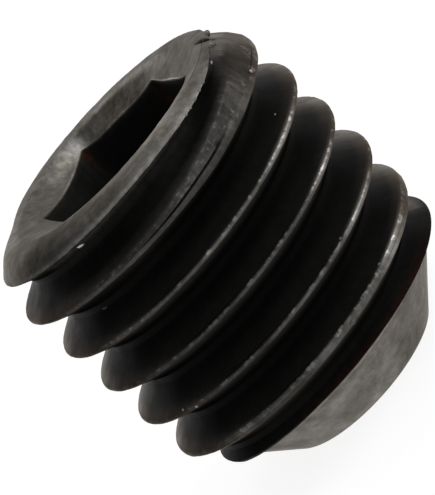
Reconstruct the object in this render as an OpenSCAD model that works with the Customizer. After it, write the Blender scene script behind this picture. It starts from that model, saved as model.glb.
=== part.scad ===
// Headless set screw with a hexagon socket and a flat point, all in millimetres.
// It stands on its point: the origin is the middle of the point's flat, and +Z runs up the
// screw's axis to the socket. One corner of the hexagon lies towards +X.

/* [Thread] */
// Diameter over the thread's crests
thread_d = 15.875; // [15.5:0.025:16.1]
// Rise of the thread in one turn
pitch = 2.309; // [2.1:0.001:2.5]
// Radius that rounds the crests
crest_r = 0.16; // [0.12:0.01:0.26]
// Radius that rounds the roots
root_r = 0.42; // [0.25:0.01:0.5]
// Height of a crest above the point's flat, on the side towards +X
crest_z = 0.33; // [0:0.01:2.3]

/* [Thread run-out] */
// Turns below the socket end at which the last crest starts to widen
runout_back = 1; // [0.9:0.01:1.1]
// Turns over which it widens
runout_turns = 0.14; // [0.1:0.01:0.3]
// Width that the crest gains
runout_land = 0.7; // [0:0.05:0.8]
// Height that the crest loses, as its rolled edge stays open
runout_drop = 0.16; // [0:0.01:0.25]
// Radius that rounds the root above it
runout_root_r = 0.14; // [0.1:0.01:0.3]

/* [Ends] */
// Length from the point's flat to the socket end
length = 16; // [15:0.025:19]
// Diameter of the flat on the point
point_d = 8.6; // [8.2:0.1:9.6]
// Slope of the point's cone, from the axis
point_angle = 43; // [40:1:50]
// Outer diameter of the flat ring round the socket's mouth
ring_d = 12.6; // [12.1:0.05:12.8]
// Slope of the bevel outside that ring, from the plane of the ring
bevel_angle = 39; // [32:1:46]
// Diameter at which the bevel turns down into the steep shoulder
shoulder_d = 14.8; // [14:0.1:15.2]
// Slope of that shoulder, from the plane of the ring
shoulder_angle = 70; // [60:1:80]

/* [Socket] */
// Width of the hexagon across its flats
socket_af = 8; // [7.8:0.01:8.1]
// Depth of the hexagon's walls below the ring
socket_depth = 8.2; // [7:0.1:9.5]
// Diameter of the countersunk mouth
mouth_d = 11.3; // [11:0.05:11.9]
// Angle of the countersink, from side to side
mouth_angle = 130; // [115:1:140]
// Angle of the drilled bottom, from side to side
drill_angle = 118; // [110:1:130]

/* [Facets] */
// Steps in one turn of the thread
turn_steps = 60; // [48:4:72]
// Steps in each rounded crest and root
round_steps = 3; // [2:1:3]

/* [Hidden] */

// The flanks stand 60 degrees from each other
flank_half = 30;
crest_radius = thread_d / 2;
sharp_depth = pitch / 2 / tan(flank_half);
thread_depth = sharp_depth - crest_r - root_r;
root_radius = crest_radius - thread_depth;

// The threaded bar runs past both ends by more than a flank's length
spare = pitch / 2;
bar_low = -spare;
bar_high = length + spare;

// The run-out goes by turns of the helix, counted from the height crest_z
runout_turn = (length - crest_z) / pitch - runout_back;
function share(turn, start, over) = max(0, min(1, (turn - start) / over));
function land(turn) = runout_land * share(turn, runout_turn, runout_turns);
function drop(turn) = runout_drop * share(turn, runout_turn - runout_turns, 2 * runout_turns);
function arc_root(turn) = root_r + (runout_root_r - root_r) * share(turn, runout_turn, runout_turns);

// Points of one thread, from one crest up to the next: [height above the crest, radius].
// The flanks keep their slope where the crest widens, so the root gets shallower.
apex_radius = crest_radius + crest_r;
arc_half = 90 - flank_half;
arc_angles = [for (s = [0 : round_steps]) arc_half * (2 * s / round_steps - 1)];
arc_points = len(arc_angles);
rows_per_turn = 2 * arc_points;
function crest_point(turn, a) =
    let (side = a > 0 ? 1 : -1, corner = side * drop(turn) * tan(flank_half) + (a > 0 ? land(turn) : 0))
    [corner + crest_r * sin(a), crest_radius - drop(turn) - crest_r * (1 - cos(a))];
function root_point(turn, a) =
    let (sharp_radius = apex_radius - (pitch - land(turn)) / 2 / tan(flank_half), r = arc_root(turn))
    [(pitch + land(turn)) / 2 + r * sin(a), sharp_radius + r * (2 - cos(a))];

// The first row starts a whole turn below the bar, and the last one ends above it
first_turn = floor((bar_low - crest_z) / pitch) - 2;
last_turn = ceil((bar_high - crest_z) / pitch) + 1;
rows = (last_turn - first_turn) * rows_per_turn;

// Height and radius of the bar's surface on one of its rows, at one of the steps of a turn
function row_turn(step, row) = first_turn + floor(row / rows_per_turn) + step / turn_steps;
function row_point(step, row) =
    let (k = row % rows_per_turn, turn = row_turn(step, row))
    k < arc_points ? crest_point(turn, arc_angles[k]) : root_point(turn, arc_angles[k - arc_points]);
function row_z(step, row) = crest_z + pitch * row_turn(step, row) + row_point(step, row)[0];

// The points: all rows at the first step, then at the next, and last the two end circles
function point_on(step, row) =
    let (a = 360 * step / turn_steps, r = row_point(step, row)[1])
    [r * cos(a), r * sin(a), row_z(step, row)];
function circle_on(z) = [
    for (step = [0 : turn_steps - 1])
    let (a = 360 * step / turn_steps)
    [root_radius * cos(a), root_radius * sin(a), z]
];
low_start = turn_steps * rows;
high_start = low_start + turn_steps;
bar_points = concat(
    [for (step = [0 : turn_steps - 1]) for (row = [0 : rows - 1]) point_on(step, row)],
    circle_on(bar_low),
    circle_on(bar_high)
);

// Number of the point that stands for a row at a step, which is an end circle's past the ends.
// A whole turn on, the row is the one that lies a pitch above on the first step.
function point_number(step, row) =
    step == turn_steps ? point_number(0, row + rows_per_turn)
    : row >= rows || row_z(step, row) >= bar_high ? high_start + step
    : row_z(step, row) <= bar_low ? low_start + step
    : step * rows + row;

function is_triangle(t) = t[0] != t[1] && t[1] != t[2] && t[2] != t[0];
bar_triangles = [
    for (step = [0 : turn_steps - 1])
    for (row = [0 : rows - 1])
    let (
        a = point_number(step, row),
        b = point_number(step + 1, row),
        c = point_number(step + 1, row + 1),
        d = point_number(step, row + 1)
    )
    for (t = [[a, c, b], [a, d, c]])
    if (is_triangle(t)) t
];
low_circle = [for (step = [0 : turn_steps - 1]) low_start + step];
high_circle = [for (step = [turn_steps - 1 : -1 : 0]) high_start + step];

// A bar with the helical thread all along it
module threaded_bar() {
    polyhedron(points = bar_points, faces = concat(bar_triangles, [low_circle, high_circle]));
}

// The turned blank that the thread is kept inside: point, point cone, shank, shoulder, bevel and end.
// Its shank stands clear of the crests.
shank_clearance = 1;
turned_steps = 96;
module turned_blank() {
    shank_radius = crest_radius + shank_clearance;
    cone_top = (shank_radius - point_d / 2) / tan(point_angle);
    bevel_low = length - (shoulder_d - ring_d) / 2 * tan(bevel_angle);
    shoulder_low = bevel_low - (shank_radius - shoulder_d / 2) * tan(shoulder_angle);
    rotate_extrude($fn = turned_steps)
        polygon([
            [0, 0],
            [point_d / 2, 0],
            [shank_radius, cone_top],
            [shank_radius, shoulder_low],
            [shoulder_d / 2, bevel_low],
            [ring_d / 2, length],
            [0, length]
        ]);
}

// The socket's cut: countersunk mouth, hexagon and drilled bottom
cut_spare = 1;
module socket_cut() {
    corner_radius = socket_af / 2 / cos(30);
    mouth_slope = tan(mouth_angle / 2);
    mouth_radius = mouth_d / 2;
    drill_radius = socket_af / 2;
    drill_depth = drill_radius / tan(drill_angle / 2);
    translate([0, 0, length - socket_depth])
        cylinder(h = socket_depth + cut_spare, r = corner_radius, $fn = 6);
    rotate_extrude($fn = turned_steps)
        polygon([
            [0, length - mouth_radius / mouth_slope],
            [mouth_radius + cut_spare * mouth_slope, length + cut_spare],
            [0, length + cut_spare]
        ]);
    rotate_extrude($fn = turned_steps)
        polygon([
            [0, length - socket_depth - drill_depth],
            [drill_radius, length - socket_depth],
            [drill_radius, length - socket_depth + cut_spare],
            [0, length - socket_depth + cut_spare]
        ]);
}

module set_screw() {
    color("dimgray")
        difference() {
            intersection() {
                threaded_bar();
                turned_blank();
            }
            socket_cut();
        }
}

set_screw();
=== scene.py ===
import math

import bpy
import numpy as np
from mathutils import Matrix, Vector


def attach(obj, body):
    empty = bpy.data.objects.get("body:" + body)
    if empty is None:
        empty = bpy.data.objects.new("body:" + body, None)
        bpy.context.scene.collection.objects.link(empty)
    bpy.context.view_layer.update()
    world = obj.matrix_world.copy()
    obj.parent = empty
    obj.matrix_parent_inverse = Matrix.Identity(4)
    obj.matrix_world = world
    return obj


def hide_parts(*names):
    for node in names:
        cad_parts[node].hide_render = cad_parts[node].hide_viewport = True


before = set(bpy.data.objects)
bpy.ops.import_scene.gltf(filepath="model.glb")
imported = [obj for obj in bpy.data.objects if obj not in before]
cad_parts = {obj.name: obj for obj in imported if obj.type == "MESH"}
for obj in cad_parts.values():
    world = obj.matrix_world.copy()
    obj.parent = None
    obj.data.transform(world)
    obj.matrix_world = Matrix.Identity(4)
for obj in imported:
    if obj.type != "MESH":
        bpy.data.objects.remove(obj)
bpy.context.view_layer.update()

MM = 0.001
TAU = 2 * math.pi
ROOT3 = math.sqrt(3)

# ---------------------------------------------------------------- sizes, in mm
CREST_RADIUS = 7.9375
PITCH = 2.309
CREST_R = 0.16
ROOT_R = 0.42
CREST_Z = 0.33
LENGTH = 16
POINT_RADIUS = 4.3
POINT_ANGLE = 43
RING_RADIUS = 6.2
MOUTH_RADIUS = 5.65
MOUTH_ANGLE = 130
SOCKET_AF = 8
SOCKET_DEPTH = 8.2
DRILL_ANGLE = 118

# The worn side of the socket end faces this way, in degrees round from +X
FRONT = -73.7
# The socket end leans: its middle lies a little below the length, and this side of it above
END_LIFT = -0.02
END_LEAN = 0.17
LEAN_SIDE = 12
LEAN_LOW = 12.0
# The pressed socket lies this much off the thread's axis, towards this side of the front
SOCKET_OFF = 0.25
SOCKET_OFF_SIDE = 90

# ---------------------------------------------------------------- mesh density
COLUMNS = 576
FIRST_TURN = -2
LAST_TURN = 8
EDGE_DROP = 0.012

rng = np.random.default_rng(11)


def smooth(low, high, x):
    """0 at low and before it, 1 at high and beyond it, and an even curve between them."""
    t = np.clip((np.asarray(x, float) - low) / (high - low), 0, 1)
    return t * t * (3 - 2 * t)


def ramp(x, *pairs):
    """Straight lines between pairs of place and value."""
    pairs = list(pairs)
    return np.interp(x, [p[0] for p in pairs], [p[1] for p in pairs])


NOISE_TABLE = rng.random((32, 32, 32))


def noise(points, size):
    """Soft lattice noise from -1 to 1 at points in mm, with bumps of about that size."""
    q = np.asarray(points, float) / size + 100
    cell = np.floor(q).astype(int)
    f = q - cell
    f = f * f * (3 - 2 * f)
    total = np.zeros(len(q))
    for corner in range(8):
        step = np.array([corner & 1, corner >> 1 & 1, corner >> 2 & 1])
        weight = np.prod(np.where(step, f, 1 - f), axis=1)
        c = (cell + step) % 32
        total += weight * NOISE_TABLE[c[:, 0], c[:, 1], c[:, 2]]
    return 2 * total - 1


theta = TAU * np.arange(COLUMNS) / COLUMNS
front = math.radians(FRONT)


def from_front(angle):
    """Degrees from the front, from -180 to 180, positive to the right as the camera sees it."""
    return (np.degrees(angle - front) + 180) % 360 - 180


# ---------------------------------------------------------------- thread rows
# Turns are counted up the helix. The front lies this far into each turn.
FRONT_SHARE = FRONT / 360 + 1
APEX = CREST_RADIUS + CREST_R


# The open seam of the last crest: turns from the front, and its depth
SEAM = (
    (4.72, 0), (4.8, 0.04), (4.86, 0.07), (4.9, 0.03), (4.95, 0.02), (5.0, 0.1), (5.06, 0.13), (5.085, 0.05),
    (5.1, 0.01), (5.15, 0.02), (5.18, 0.08), (5.23, 0.08), (5.27, 0),
)


def crest_sizes(turn):
    """A crest's lower and upper radius, its added width, its seam's depth, the root's radius and extra depth."""
    t = turn - FRONT_SHARE
    lower = CREST_RADIUS - ramp(
        t, (0.6, 0.17), (0.7, 0.12), (0.79, 0.05), (0.9, 0.12), (1.05, 0.13), (1.2, 0.22), (1.3, 0.1), (1.4, 0))
    lower = lower - ramp(t, (4.75, 0), (5.0, 0.13), (5.25, 0.16), (5.6, 0.2))
    upper = lower - ramp(t, (4.9, 0), (5.15, 0.08), (5.26, 0.1))
    land = ramp(t, (4.93, 0), (5.0, 0.06), (5.056, 0.33), (5.1, 0.5), (5.15, 0.75), (5.17, 0.88), (5.21, 0.95))
    seam = ramp(t, *SEAM)
    root = ramp(t, (4.9, ROOT_R), (5.18, 0.12))
    dig = ramp(t, (5.08, 0), (5.15, 0.15), (5.2, 0.35), (5.25, 0.3), (5.29, 0))
    return lower, upper, land, seam, root, dig


def sag(turn):
    """How far a crest's lower edge hangs down."""
    return ramp(turn - FRONT_SHARE, (0.8, 0), (1, 0.03), (1.2, 0), (4.9, 0), (5.0, 0.09), (5.055, 0.16), (5.1, 0.09), (5.17, 0))


# Turns from the front and how far the last turn is pushed up there
FLARE = (
    (5.78, 0), (5.83, 0.08), (5.9, 0.11), (6.0, 0.12), (6.1, -0.04), (6.13, -0.05), (6.17, 0.04),
    (6.2, 0.2), (6.3, 0.3),
)


def flare(turn):
    """How far the last turn is pushed up beyond the even helix."""
    return ramp(turn - FRONT_SHARE, *FLARE)


def thread_rows():
    """Heights and radii of the thread's rows, one line for each column, and the crests' radius by them."""
    turn = FIRST_TURN + np.arange(LAST_TURN - FIRST_TURN)[None, :] + (theta / TAU)[:, None]
    lower, upper, land, seam, root_r, dig = crest_sizes(turn)
    next_lower = crest_sizes(turn + 1)[0]
    hang = sag(turn)
    base = CREST_Z + PITCH * turn + flare(turn)
    span = PITCH + flare(turn + 1) - flare(turn)
    points = []
    low_half = (APEX - lower) / ROOT3
    high_half = (APEX - upper) / ROOT3
    low_centre = -low_half + CREST_R / ROOT3
    high_centre = high_half + land - CREST_R / ROOT3
    for a in np.radians([-60, -36, -12]):
        points.append((low_centre - hang + CREST_R * np.sin(a), lower - CREST_R * (1 - np.cos(a))))
    seam_start, seam_end = low_centre - hang, high_centre
    width = seam_end - seam_start
    seam_share = ramp(turn - FRONT_SHARE, (5.0, 0.48), (5.06, 0.4), (5.12, 0.25), (5.25, 0.2))
    half = np.minimum(0.16 * width, 0.06)
    for place, depth in ((-1, 0), (0, 1), (1, 0)):
        z = seam_start + seam_share * width + place * half
        r = lower + (upper - lower) * (z - seam_start) / np.maximum(width, 1e-6)
        points.append((z, np.minimum(r, lower) - depth * seam))
    for a in np.radians([12, 36, 60]):
        points.append((high_centre + CREST_R * np.sin(a), upper - CREST_R * (1 - np.cos(a))))
    sharp_z = (span + land) / 2
    sharp_r = APEX - (span - land) / 2 * ROOT3 - dig
    root_r = root_r + (span - PITCH) / 2
    root = []
    for a in np.radians([-60, -20, 20, 60]):
        root.append((sharp_z + root_r * np.sin(a), sharp_r + root_r * (2 - np.cos(a))))
    next_z = span - (APEX - next_lower) / ROOT3 + CREST_R / ROOT3 - CREST_R * math.sin(math.radians(60))
    next_z = next_z - sag(turn + 1)
    next_r = next_lower - CREST_R / 2
    start = points[-1]
    for share in (0.1, 0.5):
        points.append(tuple(a + share * (b - a) for a, b in zip(start, root[0])))
    points += root
    for share in (0.4, 0.7, 0.92):
        points.append(tuple(a + share * (b - a) for a, b in zip(root[-1], (next_z, next_r))))
    crests = [lower] * 4 + [np.minimum(lower, upper)] + [upper] * 8 + [next_lower] * 5
    z = np.stack([base + p[0] + 0 * base for p in points], -1)
    r = np.stack([p[1] + 0 * base for p in points], -1)
    crest = np.stack([c + 0 * base for c in crests], -1)
    return z.reshape(COLUMNS, -1), r.reshape(COLUMNS, -1), crest.reshape(COLUMNS, -1), len(points)


def end_height(angle):
    """Height of the socket end's ring, which leans."""
    return LENGTH + END_LIFT + END_LEAN * np.cos(np.radians(from_front(angle) - LEAN_SIDE))


def lift(z, angle):
    """How far the lean moves a point up, none below the upper threads."""
    return smooth(LEAN_LOW, LENGTH, z) * (end_height(angle) - LENGTH)


def bell(x, middle, width):
    return np.exp(-((x - middle) / width) ** 2)


# The turned and rolled shoulder of the socket end: height and radius
SHOULDER = (
    (12.9, 8.2), (13.1, 8.0), (13.4, 7.86), (13.8, 7.81), (14.1, 7.78), (14.4, 7.72), (14.65, 7.65),
    (14.86, 7.56), (15.09, 7.41), (15.32, 7.27), (15.55, 7.1), (15.75, 6.88), (15.88, 6.68),
    (15.95, 6.5), (15.985, 6.35), (16.0, 6.2),
)


def shoulder_radius(z, angle):
    """The shoulder, flatter on the left, and on the right pressed in under a burr."""
    side = from_front(angle)
    radius = ramp(z, *SHOULDER)
    radius = radius - 0.52 * bell(side, -116, 18) * smooth(14.9, 15.6, z)
    pressed = ramp(z, (14.4, 0), (14.95, 0.4), (15.2, 0.65), (15.45, 0.93), (15.7, 1), (15.78, 0.9), (15.88, 0))
    radius = radius - 0.4 * bell(side, 98, np.where(side < 98, 20, 30)) * pressed
    burr = 0.04 * bell(side, 90, 12)
    return radius + burr * smooth(15.8, 15.88, z) * smooth(16, 15.93, z)


# The ridge that the last turn rolled up on the point's cone: turns from the front, height of its
# lower edge and how far it stands out of the cone
RIDGE = (
    (-0.5, 1.45, 0), (-0.31, 1.8, 0.36), (-0.19, 2.12, 0.48), (-0.11, 2.44, 0.26), (-0.05, 2.63, 0.1),
    (0.05, 2.81, 0.1), (0.12, 2.9, 0.26), (0.15, 2.94, 0.36), (0.22, 3.05, 0.38), (0.36, 3.3, 0.36),
    (0.6, 3.8, 0.1), (0.7, 4.0, 0),
)


def ridge(turn):
    """Height of the ridge's lower edge and how far it stands out, at turns up the helix."""
    t = turn - FRONT_SHARE
    return ramp(t, *((r[0], r[1]) for r in RIDGE)), ramp(t, *((r[0], r[2]) for r in RIDGE))


def blank_radius(z, angle):
    """The turned blank: point cone below, bevel above."""
    cone = POINT_RADIUS + z * math.tan(math.radians(POINT_ANGLE))
    for n in (0, 1):
        edge, out = ridge(n + angle % TAU / TAU)
        cone = cone + out * smooth(edge - 0.04, edge + 0.04, z) * smooth(edge + 1.2, edge + 0.1, z)
    return np.minimum(cone, shoulder_radius(z, angle))


RIM_ROUND = 0.03
POINT_ROUND = 0.1

# ---------------------------------------------------------------- outer surface
verts = []
faces = []
depth_of = []
wear_and_highlight_of = []
recess_shade_of = []


def add_point(a, r, z, depth=0.0, wear_and_highlight=0.0, recess_shade=0.0):
    """A point with its depth below the crests or the blank in mm, how worn it is with its painted highlight, and its
    painted shade.
    """
    verts.append((r * math.cos(a), r * math.sin(a), z))
    depth_of.append(depth)
    wear_and_highlight_of.append(wear_and_highlight)
    recess_shade_of.append(recess_shade)


def add_circle(radius, height):
    """A ring of points, one for each column. Returns the number of its first point."""
    first = len(verts)
    radius = np.broadcast_to(radius, theta.shape)
    height = np.broadcast_to(height, theta.shape)
    for a, r, z in zip(theta, radius, height):
        add_point(a, r, z)
    return first


def join_circles(low, high, flip=False):
    """Faces between two rings. The second one lies above or inside the first."""
    for i in range(COLUMNS):
        j = (i + 1) % COLUMNS
        quad = (low + i, low + j, high + j, high + i)
        faces.append(quad[::-1] if flip else quad)


z_rows, r_rows, crest_rows, ROWS_PER_TURN = thread_rows()
column_angle = np.broadcast_to(theta[:, None], z_rows.shape)
blank = blank_radius(z_rows, column_angle)
gap = r_rows - blank
z_out = z_rows.copy()
r_out = np.minimum(r_rows, blank)
snapped = np.zeros(z_rows.shape, bool)
for i, k in zip(*np.nonzero(gap[:, :-1] * gap[:, 1:] < 0)):
    share = gap[i, k] / (gap[i, k] - gap[i, k + 1])
    z = z_rows[i, k] + share * (z_rows[i, k + 1] - z_rows[i, k])
    row = k if share < 0.5 else k + 1
    z_out[i, row] = z
    r_out[i, row] = blank_radius(z, theta[i]) - EDGE_DROP
    snapped[i, row] = True

# Rows of the ridge on the cone move to its lower edge. Its land is as dark as a groove.
RIDGE_DEPTH = 0.3
on_ridge = np.zeros(z_rows.shape, bool)
moved = np.zeros(z_rows.shape, bool)
for i in range(COLUMNS):
    for n in (0, 1):
        edge, out = ridge(n + theta[i] / TAU)
        first = (n - FIRST_TURN) * ROWS_PER_TURN
        tops = np.nonzero(snapped[i, first + 8:first + ROWS_PER_TURN - 2])[0]
        if out < 0.08 or not len(tops):
            continue
        top = first + 8 + tops[0]
        edge = min(edge, z_out[i, top] - 0.1)
        above = np.linspace(edge + 0.05, z_out[i, top], top - first - 6)[:-1]
        z_out[i, first:top] = np.concatenate((
            np.linspace(z_out[i, first - 1], edge - 0.05, 6)[1:], (edge - 0.02, edge + 0.02), above))
        r_out[i, first:top] = blank_radius(z_out[i, first:top], theta[i])
        on_ridge[i, first + 7:top + 1] = True
        moved[i, first:top] = True

row_low = POINT_ROUND
row_high = LENGTH - RIM_ROUND

# The rows above the thread's last edge share the shoulder and the bevel evenly
BEVEL_ROWS = 18
edge_z = np.zeros(COLUMNS)
for i in range(COLUMNS):
    top = np.nonzero(snapped[i])[0][-1]
    edge_z[i] = z_out[i, top]
    steps = np.arange(1, z_out.shape[1] - top) / BEVEL_ROWS
    z_out[i, top + 1:] = edge_z[i] + (row_high + 0.001 - edge_z[i]) * steps
    r_out[i, top + 1:] = blank_radius(z_out[i, top + 1:], theta[i])

# Where the last groove ends, the rows beyond it start as they lie at its end and spread from there
GROOVE_END_FADE = 24
column_side = from_front(theta)
to_right = np.argsort(column_side)
past_end = [i for i in to_right if 60 < column_side[i] < 140 and edge_z[i] < 15]
groove_end = to_right[list(to_right).index(past_end[0]) - 1]
end_side = column_side[groove_end]
for i in past_end:
    share = smooth(end_side, end_side + GROOVE_END_FADE, column_side[i])
    top = np.nonzero(snapped[i])[0][-1]
    z_out[i, top + 1:] = (1 - share) * z_out[groove_end, top + 1:] + share * z_out[i, top + 1:]
    r_out[i, top + 1:] = blank_radius(z_out[i, top + 1:], theta[i])
low_r = POINT_RADIUS + row_low * math.tan(math.radians(POINT_ANGLE))
high_r = blank_radius(np.full(COLUMNS, row_high), theta)
row_count = z_rows.shape[1]
# How worn each row of a thread is, from the crest up to the next, with a painted highlight that is strongest on the
# crest's upper side
ROW_WEAR_AND_HIGHLIGHT = (0.1, 0.3, 0.5, 0.6, 0, 0.8, 1, 1, 0.3, 0, 0, 0, 0, 0, 0, 0, 0, 0)
row_kind = np.arange(row_count) % ROWS_PER_TURN
wear_and_highlight_rows = np.where(gap > 0, 0, np.array(ROW_WEAR_AND_HIGHLIGHT)[row_kind][None, :])
# Where the thread runs out on the blank, the edge gets full wear and painted highlight
wear_and_highlight_rows = np.where(snapped, 1, wear_and_highlight_rows)
wear_and_highlight_rows = np.where(moved | on_ridge, 0, wear_and_highlight_rows)
depth_rows = np.where(snapped, 0, np.maximum(np.minimum(crest_rows, blank) - r_out, 0))
depth_rows = np.where(on_ridge, RIDGE_DEPTH, depth_rows)
# Painted shade in the grooves: below a crest its light fades over this depth, above it over the second one, in mm
turn_rows = FIRST_TURN + np.arange(row_count)[None, :] // ROWS_PER_TURN + theta[:, None] / TAU - FRONT_SHARE
away_rows = np.abs(from_front(column_angle))
fade_below = ramp(away_rows, (0, 0.3), (55, 0.4), (90, 0.6))
fade_above = ramp(away_rows, (25, 0.02), (40, 0.07), (55, 0.12), (70, 0.17), (80, 0.33), (95, 0.6))
last_fade = ramp(turn_rows, (5.0, 0.2), (5.05, 0.11), (5.1, 0.1), (5.13, 0.12), (5.17, 0.22))
fade_above = np.where((turn_rows > 4.4) * (turn_rows < 5.3), np.maximum(fade_above, last_fade), fade_above)
fade = np.where((row_kind < 3) + (row_kind > 13), fade_below, fade_above)
recess_shade_rows = 1 - np.exp(-depth_rows / fade)
recess_shade_rows = np.where(on_ridge, 1, recess_shade_rows)
# The groove's end under the socket end gets less of the painted groove shade
recess_shade_rows = recess_shade_rows * (1 - 0.7 * smooth(5.13, 5.21, turn_rows) * smooth(5.4, 5.3, turn_rows))
# Painted shade in the last crest's open seam
seam_shade = (row_kind == 4) * smooth(0.02, 0.1, ramp(turn_rows, *SEAM))
recess_shade_rows = np.maximum(recess_shade_rows, 0.85 * seam_shade * (gap < 0))
for i in range(COLUMNS):
    for k in range(row_count):
        add_point(theta[i], r_out[i, k], z_out[i, k], depth_rows[i, k], wear_and_highlight_rows[i, k], recess_shade_rows[i, k])
low_ring = add_circle(low_r, row_low)
high_ring = add_circle(high_r, row_high)


def number(i, k):
    """Number of the point that stands for a row at a column, an end ring's past the ends."""
    if i == COLUMNS:
        return number(0, k + ROWS_PER_TURN)
    if k >= row_count or z_out[i, k] >= row_high:
        return high_ring + i
    if z_out[i, k] <= row_low:
        return low_ring + i
    return i * row_count + k


def is_snapped(i, k):
    if i == COLUMNS:
        i, k = 0, k + ROWS_PER_TURN
    return k < row_count and snapped[i, k]


for i in range(COLUMNS):
    for k in range(row_count):
        a, b = number(i, k), number(i + 1, k)
        c, d = number(i + 1, k + 1), number(i, k + 1)
        if is_snapped(i, k + 1) and is_snapped(i + 1, k):
            pair = ((a, b, d), (b, c, d))
        else:
            pair = ((a, b, c), (a, c, d))
        for t in pair:
            if t[0] != t[1] and t[1] != t[2] and t[2] != t[0]:
                faces.append(t)

# ---------------------------------------------------------------- point
cone_slope = math.tan(math.radians(POINT_ANGLE))
previous = low_ring
for share, inset in ((0.6, 0.0), (0.25, 0.015), (0.0, 0.05)):
    ring = add_circle(POINT_RADIUS + row_low * cone_slope * share - inset, row_low * share)
    join_circles(previous, ring, flip=True)
    previous = ring
for radius in (3.6, 2.4, 1.1):
    ring = add_circle(radius, 0)
    join_circles(previous, ring, flip=True)
    previous = ring
add_point(0, 0, 0)
for i in range(COLUMNS):
    faces.append((previous + (i + 1) % COLUMNS, previous + i, len(verts) - 1))

# ---------------------------------------------------------------- socket end
mouth_slope = math.tan(math.radians(MOUTH_ANGLE / 2))
previous = high_ring
off_x = SOCKET_OFF * math.cos(front + math.radians(SOCKET_OFF_SIDE))
off_y = SOCKET_OFF * math.sin(front + math.radians(SOCKET_OFF_SIDE))


def add_socket_circle(radius, height, depth=0.0, wear_and_highlight=0.0):
    """A ring of points round the middle of the socket, which lies off the axis, with painted shade where it lies deep.
    """
    first = len(verts)
    radius = np.broadcast_to(radius, theta.shape)
    height = np.broadcast_to(height, theta.shape)
    wear_and_highlight = np.broadcast_to(wear_and_highlight, theta.shape)
    for a, r, z, w in zip(theta, radius, height, wear_and_highlight):
        x, y = off_x + r * math.cos(a), off_y + r * math.sin(a)
        add_point(math.atan2(y, x), math.hypot(x, y), z, depth, w, min(1, 20 * depth))
    return first


ring = add_circle(np.minimum(RING_RADIUS, high_r - 0.05), LENGTH)
join_circles(previous, ring)
previous = ring
steps = (
    (0.42, 0),
    (0.23, 0),
    (0.04, 0),
    (0.01, -0.006),
    (-0.04, -0.026),
    (-0.12, -0.12 / mouth_slope - 0.003),
)
for inset, drop in steps:
    ring = add_socket_circle(MOUTH_RADIUS + inset, LENGTH + drop)
    join_circles(previous, ring)
    previous = ring

hex_radius = SOCKET_AF / 2 / np.cos(theta % math.radians(60) - math.radians(30))
hex_radius = np.minimum(hex_radius, SOCKET_AF / ROOT3 - 0.03)
start_radius = MOUTH_RADIUS - 0.12
# Sides of the hexagon at whose middle the countersink's edge stands higher, in degrees from the front, and by how much
socket_side = from_front(theta)
side_rise = 0.15 * bell(socket_side, 163.7, 16) + 0.13 * bell(socket_side, 103.7, 16)
# Painted highlight lines along the hexagon's top edge, round these sides, carried in the wear and highlight values
light_edge = bell(socket_side, 108, 18) + 0.45 * bell(socket_side, 160, 28) + 0.35 * bell(socket_side, -145, 22)
for share in (0.12, 0.28, 0.46, 0.64, 0.8, 0.92, 0.96, 0.985):
    radius = start_radius + (hex_radius - start_radius) * share
    height = LENGTH - (MOUTH_RADIUS - radius) / mouth_slope + side_rise * share ** 2
    ring = add_socket_circle(radius, height, 0, light_edge * (share > 0.95))
    join_circles(previous, ring)
    previous = ring
WALL_DEPTH = 1.0
wall_bottom = LENGTH - SOCKET_DEPTH
wall_top = LENGTH - (MOUTH_RADIUS - hex_radius) / mouth_slope + side_rise
for share in (0.012, 0.05, 0.15, 0.35, 0.6, 0.85, 0.985, 1.0):
    height = wall_top + (wall_bottom - wall_top) * share
    ring = add_socket_circle(hex_radius, height, WALL_DEPTH * smooth(0, 0.06, share), light_edge * (share < 0.03))
    join_circles(previous, ring)
    previous = ring
drill_radius = SOCKET_AF / 2 - 0.01
drill_depth = drill_radius / math.tan(math.radians(DRILL_ANGLE / 2))
for radius in (drill_radius, 0.66 * drill_radius, 0.33 * drill_radius):
    ring = add_socket_circle(radius, wall_bottom - drill_depth * (1 - radius / drill_radius), WALL_DEPTH)
    join_circles(previous, ring)
    previous = ring
# The socket's bottom point gets full painted shade
add_point(math.atan2(off_y, off_x), SOCKET_OFF, wall_bottom - drill_depth, WALL_DEPTH, 0, 1)
for i in range(COLUMNS):
    faces.append((previous + i, previous + (i + 1) % COLUMNS, len(verts) - 1))

# ---------------------------------------------------------------- object
used = sorted({n for f in faces for n in f})
renumber = {n: m for m, n in enumerate(used)}
points = np.array(verts, float)[used]
depth = np.array(depth_of, float)[used]
wear_and_highlight = np.array(wear_and_highlight_of, float)[used]
recess_shade = np.array(recess_shade_of, float)[used]
faces = [tuple(renumber[n] for n in f) for f in faces]

angle = np.arctan2(points[:, 1], points[:, 0])
radius = np.hypot(points[:, 0], points[:, 1])


def point_normals(places, polygons):
    """Even normals at the points, from the faces round each."""
    corners = np.array([t for f in polygons for t in ((f[0], f[1], f[2]), (f[0], f[2], f[-1]))[:len(f) - 2]])
    a, b, c = (places[corners[:, k]] for k in range(3))
    across = np.cross(b - a, c - a)
    total = np.zeros(places.shape)
    for k in range(3):
        np.add.at(total, corners[:, k], across)
    return total / np.maximum(np.linalg.norm(total, axis=1, keepdims=True), 1e-12)


normals = point_normals(points, faces)
outside = smooth(5.5, 5.7, radius)
rough_places = (1 - 0.75 * smooth(0.02, 0.2, depth)) * (0.35 + 0.65 * outside)
bumps = 0.008 * noise(points, 0.55) + 0.006 * noise(points, 0.24) + 0.004 * noise(points, 0.12)
bumps = bumps * rough_places * smooth(0.02, 0.2, points[:, 2])
# The last crest's open side is rougher
helix_turn = (points[:, 2] - CREST_Z) / PITCH - from_front(angle) / 360 - FRONT_SHARE
rough_crest = smooth(4.95, 5.02, helix_turn) * smooth(5.75, 5.6, helix_turn) * bell(from_front(angle), 35, 28) * (depth < 0.15)
bumps = bumps + rough_crest * (0.02 * noise(points, 0.2) + 0.012 * noise(points, 0.1))
points = points + normals * bumps[:, None]


def place_on(side_at, r):
    """Where a side and a radius lie in the plane across the axis."""
    a = front + math.radians(side_at)
    return np.array((r * math.cos(a), r * math.sin(a)))


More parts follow.
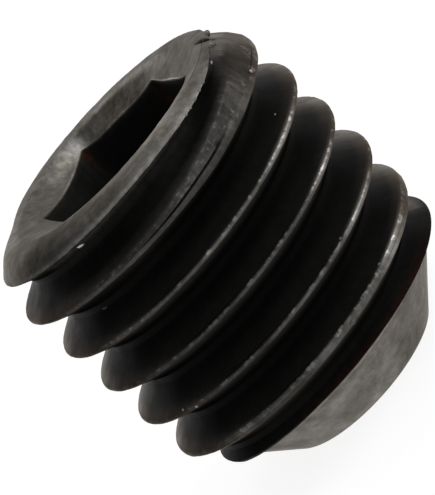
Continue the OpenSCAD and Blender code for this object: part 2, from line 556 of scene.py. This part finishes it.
# A notch across the ring, from its inner end to its outer one
notch_start, notch_end = place_on(83.5, 6.2), place_on(77.5, 6.6)
notch_way = notch_end - notch_start
notch_share = np.clip((points[:, :2] - notch_start) @ notch_way / (notch_way @ notch_way), 0, 1)
notch_off = np.linalg.norm(points[:, :2] - notch_start - notch_share[:, None] * notch_way, axis=1)
notch = np.exp(-(notch_off / 0.14) ** 2) * (points[:, 2] > 15.3)
points[:, 2] -= 0.18 * notch
# Painted shade in the notch
recess_shade = np.maximum(recess_shade, np.minimum(1, 1.8 * notch))
points[:, 2] += lift(points[:, 2], angle)

# Grains and burrs that stick to the surface: side, height, half length, half width, height, turn, tone
GRAINS = (
    (-34.9, 15.24, 0.21, 0.1, 0.1, -40, 4.5), (58.3, 15.68, 0.13, 0.1, 0.12, 30, 2.2),
    (45.3, 11.79, 0.07, 0.06, 0.05, 0, 2.6), (54.6, 12.21, 0.06, 0.055, 0.05, 0, 3.0),
    (58.4, 14.27, 0.1, 0.09, 0.08, 0, 3.2), (-46.9, 6.43, 0.09, 0.07, 0.06, 0, 2.6),
    (-53.4, 6.61, 0.08, 0.07, 0.06, 0, 1.6), (28.5, 7.11, 0.08, 0.06, 0.05, 0, 1.6),
    (31.7, 4.92, 0.09, 0.08, 0.06, 0, 1.3), (10.6, 4.42, 0.17, 0.12, 0.09, 0, 1.1),
    (-25.8, 11.24, 0.06, 0.05, 0.03, 0, 1.0), (-52.9, 12.15, 0.2, 0.09, 0.03, 0, 0.28),
    (22.9, 15.66, 0.12, 0.05, 0.05, 10, 1.6), (28.0, 15.69, 0.1, 0.06, 0.06, 20, 2.0),
    (31.0, 15.72, 0.08, 0.06, 0.06, 0, 2.2), (35.5, 15.74, 0.14, 0.05, 0.05, 15, 1.7),
    (40.0, 15.76, 0.07, 0.05, 0.05, 0, 1.9), (44.5, 15.78, 0.09, 0.06, 0.06, 20, 1.8),
    (85.5, 15.9, 0.17, 0.15, 0.13, 60, 1.0), (21.0, 14.2, 0.07, 0.05, 0.05, 0, 0.9),
    (29.0, 14.42, 0.08, 0.06, 0.05, 0, 0.9), (31.0, 14.16, 0.09, 0.05, 0.05, 0, 1.1),
    (36.0, 14.2, 0.07, 0.05, 0.05, 0, 0.9), (39.0, 14.5, 0.08, 0.06, 0.05, 0, 0.8),
    (47.0, 14.4, 0.06, 0.05, 0.04, 0, 0.9),
)
GRAIN_ROUND = 10
GRAIN_LEVELS = 5


def add_grain(side_at, height, half_length, half_width, rise, turned, tone_and_shading):
    """Points, faces and tones of a small rounded grain, half sunk into the nearest place of the skin."""
    a = front + math.radians(side_at)
    target = np.array((7.3 * math.cos(a), 7.3 * math.sin(a), height))
    outer = np.nonzero(np.hypot(points[:, 0], points[:, 1]) > 6.3)[0]
    turn_off = (angle[outer] - a + math.pi) % TAU - math.pi
    nearest = outer[np.argmin((7.3 * turn_off) ** 2 + (points[outer, 2] - target[2]) ** 2)]
    middle, out = points[nearest], normals[nearest]
    along = np.cross((0, 0, 1), out)
    along /= np.linalg.norm(along)
    up = np.cross(out, along)
    c, s = math.cos(math.radians(turned)), math.sin(math.radians(turned))
    long_way, short_way = c * along + s * up, c * up - s * along
    places = []
    for level in range(1, GRAIN_LEVELS):
        b = math.pi * level / GRAIN_LEVELS - math.pi / 2
        for k in range(GRAIN_ROUND):
            w = TAU * k / GRAIN_ROUND
            x, y, z = half_length * math.cos(b) * math.cos(w), half_width * math.cos(b) * math.sin(w), rise * math.sin(b)
            places.append(middle + x * long_way + y * short_way + z * out)
    places += [middle - rise * out, middle + rise * out]
    low, high = len(places) - 2, len(places) - 1
    grain_faces = []
    for k in range(GRAIN_ROUND):
        m = (k + 1) % GRAIN_ROUND
        grain_faces.append((low, m, k))
        for level in range(GRAIN_LEVELS - 2):
            base = level * GRAIN_ROUND
            grain_faces.append((base + k, base + m, base + GRAIN_ROUND + m, base + GRAIN_ROUND + k))
        base = (GRAIN_LEVELS - 2) * GRAIN_ROUND
        grain_faces.append((base + k, base + m, high))
    return np.array(places), grain_faces, tone_and_shading


skin_count = len(points)
grain_points, grain_tones = [], []
start = skin_count
for grain in GRAINS:
    places, grain_faces, grain_tone = add_grain(*grain)
    places = places + 0.012 * noise(places, 0.06)[:, None]
    grain_points.append(places)
    grain_tones += [grain_tone] * len(places)
    faces += [tuple(n + start for n in f) for f in grain_faces]
    start += len(places)
points = np.concatenate([points] + grain_points)
none = np.zeros(len(grain_tones))
depth, wear_and_highlight, recess_shade, rough_crest_all = (np.concatenate((a, none)) for a in (depth, wear_and_highlight, recess_shade, rough_crest))
angle = np.arctan2(points[:, 1], points[:, 0])
radius = np.hypot(points[:, 0], points[:, 1])

mesh = bpy.data.meshes.new("screw_skin")
mesh.from_pydata((points * MM).tolist(), [], faces)
mesh.validate()
mesh.update()
mesh.shade_smooth()
mesh.set_sharp_from_angle(angle=math.radians(38))
screw = bpy.data.objects.new("screw_skin", mesh)
bpy.context.scene.collection.objects.link(screw)
print("triangles", sum(len(p.vertices) - 2 for p in mesh.polygons))


def attribute(name, values):
    a = mesh.attributes.new(name, "FLOAT", "POINT")
    a.data.foreach_set("value", np.asarray(values, np.float32))




def patch(side_at, side_width, r_at, r_width):
    """A soft patch at some degrees from the front and at a radius."""
    turn_off = (side - side_at + 180) % 360 - 180
    return np.exp(-(turn_off / side_width) ** 2 - ((radius - r_at) / r_width) ** 2)


side = from_front(angle)
height = points[:, 2]
near_edge = np.convolve(np.tile(edge_z, 3), np.ones(25) / 25, "same")[COLUMNS:2 * COLUMNS]
near_edge = np.where((column_side > 66) * (column_side < 110), near_edge, edge_z)
above = height - lift(height, angle) - np.interp(angle % TAU, theta, near_edge, period=TAU)


def blend(share, start, end):
    return start + (end - start) * np.clip(share, 0, 1)


turn_of = (height - CREST_Z) / PITCH - FRONT_SHARE
low_edge = np.zeros(len(points))
for n in (0, 1):
    edge, out = ridge(n + angle % TAU / TAU)
    low_edge = np.maximum(low_edge, smooth(-0.02, 0.02, height - edge) * smooth(0.03, 0.09, out))
off_cone = np.abs(radius - POINT_RADIUS - height * cone_slope)
on_cone = (1 - low_edge) * smooth(0.2, 0.08, off_cone) * (height < 4)
under_ridge = ridge(angle % TAU / TAU)[0] - height
# The cone is lighter, partly for its turned finish and partly as a painted reflection of the pale floor; darker round
# 32 degrees right of the front, lighter towards the tip, and under the ridge a painted highlight line with painted
# shade below it
cone_tone_and_light = 2.2 * (1 - 0.3 * bell(side, 32, 22)) * (1 + 0.2 * smooth(1, 0, height))
cone_tone_and_light = cone_tone_and_light * (1 + (0.35 * bell(under_ridge, 0.06, 0.05) - 0.22 * bell(under_ridge, 0.22, 0.1)) * bell(side, 0, 60))
tone_and_shading = blend(on_cone, 1, cone_tone_and_light)
outside_skin = smooth(5.5, 5.7, radius)
# Painted shade on both sides between the front and the outline
side_shade = smooth(38, 66, np.abs(side)) * smooth(98, 78, np.abs(side)) * (height < 15) * (1 - on_cone)
tone_and_shading = tone_and_shading * (1 - 0.5 * side_shade)
# More painted shade on the left side
tone_and_shading = tone_and_shading * (1 - 0.5 * smooth(40, 60, -side) * smooth(95, 75, -side) * (height < 15) * (1 - on_cone))
# Painted shade in the deepest roots near the front
tone_and_shading = tone_and_shading * (1 - 0.5 * smooth(0.85, 1.2, depth) * bell(side, 0, 80) * outside_skin)
on_bevel = smooth(14.6, 15.1, height) * smooth(-0.04, 0, above) * smooth(5.5, 5.65, radius)
# Painted light and shade round the bevel, side by side, a painted highlight line along its lower edge, painted shade
# in a band above that at the front, and a painted highlight on the ring at the front
bevel_light_and_shade = ramp(side, (-180, 1), (-130, 1.15), (-110, 1.45), (-90, 1.55), (-75, 0.85), (-60, 0.3), (-45, 0.18), (-24, 0.42),
                  (0, 0.85), (12, 1.2), (22, 1.5), (44, 1.1), (60, 1.0), (80, 0.9), (110, 0.9), (150, 1.2), (180, 1.3))
bevel_edge_highlight = ramp(side, (-80, 0), (-45, 1.8), (-24, 1.6), (0, 0.9), (15, 0.3), (30, 0.7), (45, 0.5), (60, 0))
bevel_light_and_shade = bevel_light_and_shade * (1 + bevel_edge_highlight * bell(above, 0.07, 0.09))
bevel_light_and_shade = bevel_light_and_shade * (1 - 0.3 * bell(above, 0.4, 0.12) * bell(side, 0, 15))
bevel_light_and_shade = bevel_light_and_shade * (1 + 0.9 * smooth(6.3, 6.1, radius) * bell(side, -5, 40))
tone_and_shading = blend(on_bevel, tone_and_shading, bevel_light_and_shade)
# Painted light on the worn crests, lighter at the front and dimmer to the left, and a painted glint round 45 degrees
# to the right. Each crest at the front is also lighter or darker by its turn.
crest_light = ramp(side, (-180, 0.8), (-90, 0.5), (-40, 0.5), (-12, 0.5), (0, 1.05), (25, 0.8), (40, 0.85),
                  (60, 0.9), (180, 0.8))
on_crest = smooth(0, 0.3, wear_and_highlight) * (height < 15) * (1 - on_bevel)
tone_and_shading = tone_and_shading * (1 + (crest_light - 1) * on_crest)
tone_and_shading = tone_and_shading * (1 + 1.5 * on_crest * bell(side, 45, 14) * (height < 13))
by_crest = ramp(turn_of - side / 360, (1.5, 1), (2, 0.85), (3, 0.75), (4, 1.35), (4.5, 1))
tone_and_shading = tone_and_shading * (1 + (by_crest - 1) * on_crest * bell(side, 0, 60))
lip_turn = 5 + side / 360
over_lip = (turn_of - lip_turn) * PITCH
band_top = ramp(side, (-60, 14.3), (0, 14.7), (25, 15.0), (40, 15.5), (60, 15.5), (78, 15.0))
last_crest = smooth(4.55, 4.65, lip_turn) * smooth(5.34, 5.24, lip_turn)
last_crest = last_crest * smooth(-1.2, -1.1, over_lip) * smooth(0.4, 0, height - band_top)
# Painted light and shade along the last crest's lip and the band above its seam, side by side, with a painted
# highlight round 37 degrees right and a darker place round 54 degrees
lip_light_and_shade = ramp(side, (-75, 0.2), (-60, 0.25), (-42, 0.57), (-20, 0.8), (0, 0.48), (22, 0.4), (34, 0.6), (42, 1),
                (60, 0.6), (90, 0.5))
band_light_and_shade = ramp(side, (-75, 0.15), (-42, 0.18), (-20, 0.21), (0, 0.44), (12, 0.6), (22, 0.45), (34, 0.35), (90, 0.4))
over_seam = smooth(0.02, 0.12, over_lip + ramp(lip_turn, (4.9, 0), (5.06, 0.12), (5.17, 0)))
band_light_and_shade = band_light_and_shade * (1 + 1.9 * bell(over_lip, 0.14, 0.14) * bell(side, 37, 12))
band_light_and_shade = band_light_and_shade * (1 - 0.5 * smooth(14.8, 15.1, height) * bell(side, 54, 13))
tone_and_shading = blend(last_crest * (radius > 5.9), tone_and_shading, blend(over_seam, lip_light_and_shade, band_light_and_shade))
# Painted light: the first groove under the socket end is lightened near the front
first_groove_light = smooth(0.3, 0.6, over_lip) * smooth(75, 50, np.abs(side)) * (height < 15.7) * (height > 13.5)
tone_and_shading = tone_and_shading * (1 + 1.3 * first_groove_light * smooth(0.4, 0.75, depth) * outside_skin)
# Painted shade on the far side of the countersink, a lighter patch at -161 degrees, and streaks over both
far_cone = smooth(130, 143, np.abs(side)) * (side > 0) + smooth(-170, -178, side) * (side < 0)
tone_and_shading = tone_and_shading * (1 - 0.68 * far_cone * smooth(5.6, 5.4, radius) * (depth < 0.02) * (radius > 4))
tone_and_shading = tone_and_shading * (1 + 2.1 * patch(-161, 12, 4.85, 0.5))
streaks = noise(points * (1, 1, 0.3), 0.14) + 0.6 * noise(points, 0.07)
tone_and_shading = tone_and_shading * (1 + 0.32 * streaks * np.minimum(1, far_cone + 1.3 * patch(-158, 22, 4.9, 0.8)) * (radius < 5.6) * (height > 15))
# In the socket the hexagon's edge lines become painted highlights, and its shaded walls get painted light round -120
# degrees
in_socket = (radius < 5.5) * (height > 13)
tone_and_shading = tone_and_shading * (1 + 2.3 * wear_and_highlight * in_socket)
tone_and_shading = tone_and_shading * (1 + 1.1 * in_socket * (recess_shade > 0.5) * bell(side, -120, 35))
wear_and_highlight = wear_and_highlight * (1 - in_socket)
tone_and_shading = tone_and_shading * (1 + 0.12 * noise(points, 0.45) + (0.16 * noise(points, 0.2) + 0.1 * noise(points, 0.1)) * (height > 14))
tone_and_shading = tone_and_shading * (1 + 0.35 * rough_crest_all * noise(points, 0.15))
# Painted reflection: lighter towards the outline on both sides, round 93 degrees from the front
tone_and_shading = 1.07 * tone_and_shading * (1 + bell(np.abs(side), 93, 16) * (height < 15) * (1 - on_cone) * outside_skin)
tone_and_shading[skin_count:] = grain_tones
# The tone holds the metal's own tone and the painted light and shade above
attribute("tone_and_shading", tone_and_shading)
attribute("depth", depth)
# Painted shade in the grooves, the seam, the notch and the socket
attribute("recess_shade", recess_shade)
# Warmer colour with the painted side shade
attribute("side_shade_warm", side_shade * (1 - on_bevel))
# Painted sheen in the grooves towards the outline's sides, lighter and warmer there
attribute("flank", 0.8 * smooth(84, 110, np.abs(side)) * (radius > 5.5))
rust = 0.9 * patch(131.6, 5, 4.77, 0.25) * bell(height, 14.5, 0.35) + 0.5 * patch(-168.8, 3, 4.5, 0.2) * bell(height, 14.9, 0.4)
edge_rust = bell(height - ridge(angle % TAU / TAU)[0], 0.06, 0.08) * ramp(side, (-40, 0), (-10, 0.6), (50, 0.8), (70, 0))
attribute("rust", rust + 0.6 * edge_rust * (height < 4))
# Wear on the crests and edges, with the painted highlights on them
attribute("wear_and_highlight", wear_and_highlight * (0.65 + 0.5 * noise(points, 0.35)))


# ---------------------------------------------------------------- material
FACE_TONE = (0.1, 0.096, 0.091, 1)
RECESS_SHADE_TONE = (0.0085, 0.0084, 0.0079, 1)
SIDE_SHADE_TONE = (0.088, 0.071, 0.058, 1)
SIDE_SHEEN_TONE = (0.06, 0.051, 0.044, 1)
WEAR_AND_HIGHLIGHT_TONE = (0.2, 0.197, 0.19, 1)
OLIVE_TONE = (0.06, 0.056, 0.047, 1)
RUST_TONE = (0.055, 0.014, 0.004, 1)


class Nodes:
    """Short ways to add and join the nodes of one material."""

    def __init__(self, material):
        self.tree = material.node_tree

    def add(self, kind, **values):
        node = self.tree.nodes.new(kind)
        for name, value in values.items():
            node.inputs[name.replace("_", " ")].default_value = value
        return node

    def link(self, start, end):
        self.tree.links.new(start, end)

    def noise(self, place, scale, detail, roughness=0.6):
        node = self.add("ShaderNodeTexNoise", Scale=scale, Detail=detail, Roughness=roughness)
        self.link(place, node.inputs["Vector"])
        return node.outputs["Fac"]

    def remap(self, value, low, high, to_low, to_high):
        node = self.add("ShaderNodeMapRange")
        for name, v in (("From Min", low), ("From Max", high), ("To Min", to_low), ("To Max", to_high)):
            node.inputs[name].default_value = v
        self.link(value, node.inputs["Value"])
        return node.outputs["Result"]

    def math(self, operation, a, b):
        node = self.add("ShaderNodeMath")
        node.operation = operation
        for socket, v in zip(node.inputs, (a, b)):
            if isinstance(v, (int, float)):
                socket.default_value = v
            else:
                self.link(v, socket)
        return node.outputs[0]

    def mix(self, share, a, b):
        node = self.add("ShaderNodeMix")
        node.data_type = "RGBA"
        self.link(share, node.inputs["Factor"])
        for name, v in (("A", a), ("B", b)):
            socket = next(i for i in node.inputs if i.name == name and i.type == "RGBA")
            if isinstance(v, tuple):
                socket.default_value = v
            else:
                self.link(v, socket)
        return next(o for o in node.outputs if o.type == "RGBA")

    def mask(self, name):
        node = self.add("ShaderNodeAttribute")
        node.attribute_name = name
        return node.outputs["Fac"]


def steel_material():
    material = bpy.data.materials.new("black_steel_worn_painted_shading")
    material.use_nodes = True
    shader = material.node_tree.nodes["Principled BSDF"]
    n = Nodes(material)
    place = n.add("ShaderNodeTexCoord").outputs["Object"]
    blotch = n.noise(place, 700, 4)
    fine = n.noise(place, 3200, 4, 0.7)
    grain = n.noise(place, 9000, 2)
    # Painted shade in the hollows: the dark groove colour, and no metal there
    recess_shade_mask = n.remap(n.math("ADD", n.mask("recess_shade"), n.remap(fine, 0.3, 0.7, -0.08, 0.08)), 0.08, 0.95, 0, 1)
    face = n.mix(n.remap(blotch, 0.4, 0.62, 0, 0.7), FACE_TONE, OLIVE_TONE)
    # Warmer colour on the sides that carry painted shade
    face = n.mix(n.mask("side_shade_warm"), face, SIDE_SHADE_TONE)
    # Towards the outline the groove colour turns to the painted side sheen
    colour = n.mix(recess_shade_mask, face, n.mix(n.mask("flank"), RECESS_SHADE_TONE, SIDE_SHEEN_TONE))
    scratch = n.remap(fine, 0.42, 0.6, 0.25, 1.0)
    # Lighter metal where worn, also painting the highlights on crests and edges
    wear_and_highlight = n.remap(n.math("MULTIPLY", n.mask("wear_and_highlight"), scratch), 0.35, 0.9, 0, 1)
    colour = n.mix(wear_and_highlight, colour, WEAR_AND_HIGHLIGHT_TONE)
    colour = n.mix(n.math("MULTIPLY", n.mask("rust"), n.remap(fine, 0.4, 0.6, 0.3, 1)), colour, RUST_TONE)
    # The colour is scaled by the tone attribute, which holds painted light and shade along with the metal's own tone
    lift_tone = n.add("ShaderNodeVectorMath")
    lift_tone.operation = "SCALE"
    n.link(colour, lift_tone.inputs[0])
    n.link(n.math("MULTIPLY", n.remap(fine, 0.3, 0.7, 0.78, 1.22), n.mask("tone_and_shading")), lift_tone.inputs["Scale"])
    n.link(lift_tone.outputs["Vector"], shader.inputs["Base Color"])
    n.link(n.remap(recess_shade_mask, 0, 1, 0.85, 0), shader.inputs["Metallic"])
    shader.inputs["Specular IOR Level"].default_value = 0.015
    shader.inputs["Specular Tint"].default_value = (0.66, 0.62, 0.58, 1)
    n.link(n.remap(blotch, 0.3, 0.7, 0.34, 0.52), shader.inputs["Roughness"])
    bump = n.add("ShaderNodeBump", Strength=0.3, Distance=0.00002)
    n.link(n.math("ADD", n.math("MULTIPLY", fine, 1.5), grain), bump.inputs["Height"])
    n.link(bump.outputs["Normal"], shader.inputs["Normal"])
    return material


mesh.materials.append(steel_material())
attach(screw, "root")
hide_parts("set_screw")

# ---------------------------------------------------------------- floor, world, lamps
WHITE = (1, 1, 1, 1)
FLOOR_HALF = 1.5
FLOOR_GLOW = 0.86
FLOOR_LIT = 0.25


def seen_mix(nodes, links, seen, unseen, output):
    """Shows one shader to camera, glossy and transmission rays, and the other to the rest."""
    path = nodes.new("ShaderNodeLightPath")
    first = nodes.new("ShaderNodeMath")
    first.operation = "MAXIMUM"
    links.new(path.outputs["Is Camera Ray"], first.inputs[0])
    links.new(path.outputs["Is Glossy Ray"], first.inputs[1])
    second = nodes.new("ShaderNodeMath")
    second.operation = "MAXIMUM"
    links.new(first.outputs[0], second.inputs[0])
    links.new(path.outputs["Is Transmission Ray"], second.inputs[1])
    mix = nodes.new("ShaderNodeMixShader")
    links.new(second.outputs[0], mix.inputs["Fac"])
    links.new(unseen.outputs[0], mix.inputs[1])
    links.new(seen.outputs[0], mix.inputs[2])
    links.new(mix.outputs[0], output)


def floor_material():
    material = bpy.data.materials.new("pale_floor")
    material.use_nodes = True
    nodes = material.node_tree.nodes
    links = material.node_tree.links
    nodes.clear()
    out = nodes.new("ShaderNodeOutputMaterial")
    glow = nodes.new("ShaderNodeEmission")
    glow.inputs["Color"].default_value = WHITE
    glow.inputs["Strength"].default_value = FLOOR_GLOW
    thin = nodes.new("ShaderNodeBsdfDiffuse")
    thin.inputs["Color"].default_value = (FLOOR_LIT, FLOOR_LIT, FLOOR_LIT, 1)
    both = nodes.new("ShaderNodeAddShader")
    links.new(glow.outputs[0], both.inputs[0])
    links.new(thin.outputs[0], both.inputs[1])
    plain = nodes.new("ShaderNodeBsdfDiffuse")
    plain.inputs["Color"].default_value = (0.8, 0.8, 0.8, 1)
    seen_mix(nodes, links, both, plain, out.inputs["Surface"])
    return material


floor_mesh = bpy.data.meshes.new("floor")
corners = [(-1, -1, 0), (1, -1, 0), (1, 1, 0), (-1, 1, 0)]
floor_mesh.from_pydata([tuple(FLOOR_HALF * c for c in p) for p in corners], [], [(0, 1, 2, 3)])
floor = bpy.data.objects.new("floor", floor_mesh)
bpy.context.scene.collection.objects.link(floor)
floor_mesh.materials.append(floor_material())

world = bpy.data.worlds.new("studio")
bpy.context.scene.world = world
world.use_nodes = True
world_nodes = world.node_tree.nodes
world_links = world.node_tree.links
world_nodes.clear()
world_out = world_nodes.new("ShaderNodeOutputWorld")
bright = world_nodes.new("ShaderNodeBackground")
bright.inputs["Color"].default_value = WHITE
plain_sky = world_nodes.new("ShaderNodeBackground")
plain_sky.inputs["Color"].default_value = WHITE
plain_sky.inputs["Strength"].default_value = 0.45
seen_mix(world_nodes, world_links, bright, plain_sky, world_out.inputs["Surface"])


def lamp(name, place, size, power):
    light = bpy.data.lights.new(name, "AREA")
    light.shape = "SQUARE"
    light.size = size
    light.energy = power
    obj = bpy.data.objects.new(name, light)
    obj.location = place
    obj.rotation_euler = (Vector((0, 0, 0.008)) - Vector(place)).to_track_quat("-Z", "Y").to_euler()
    bpy.context.scene.collection.objects.link(obj)


lamp("lamp_top", (-0.2, 0.25, 0.5), 0.35, 0.6)
lamp("lamp_right", (0.5, 0.1, 0.25), 0.3, 1.0)

# ---------------------------------------------------------------- camera
CAM_AZIMUTH = 16.3
CAM_TILT = 16.64
CAM_ROLL = 48.42
CAM_DISTANCE = 228.6
CAM_LENS_PX = 5161
CAM_AIM_Z = 8.222
CAM_SHIFT_X = 0.508
CAM_SHIFT_Y = -0.408
PHOTO_LONG_SIDE = 495
SENSOR = 36

away = math.radians(CAM_AZIMUTH)
tilt = math.radians(CAM_TILT)
roll = math.radians(CAM_ROLL)
towards = Vector((math.sin(away), -math.cos(away), 0))
level_right = Vector((math.cos(away), math.sin(away), 0))
back = towards * math.cos(tilt) + Vector((0, 0, math.sin(tilt)))
level_up = -towards * math.sin(tilt) + Vector((0, 0, math.cos(tilt)))
image_right = level_right * math.cos(roll) - level_up * math.sin(roll)
image_up = level_right * math.sin(roll) + level_up * math.cos(roll)
aim = Vector((0, 0, CAM_AIM_Z)) - image_right * CAM_SHIFT_X - image_up * CAM_SHIFT_Y
eye = (aim + back * CAM_DISTANCE) * MM
camera_data = bpy.data.cameras.new("camera")
camera_data.sensor_width = SENSOR
camera_data.lens = CAM_LENS_PX * SENSOR / PHOTO_LONG_SIDE
camera_data.clip_start = 0.01
camera_data.clip_end = 10
camera = bpy.data.objects.new("camera", camera_data)
bpy.context.scene.collection.objects.link(camera)
turn_to = Matrix((image_right, image_up, back)).transposed().to_4x4()
camera.matrix_world = Matrix.Translation(eye) @ turn_to
bpy.context.scene.camera = camera
bpy.context.scene.view_settings.view_transform = "Standard"
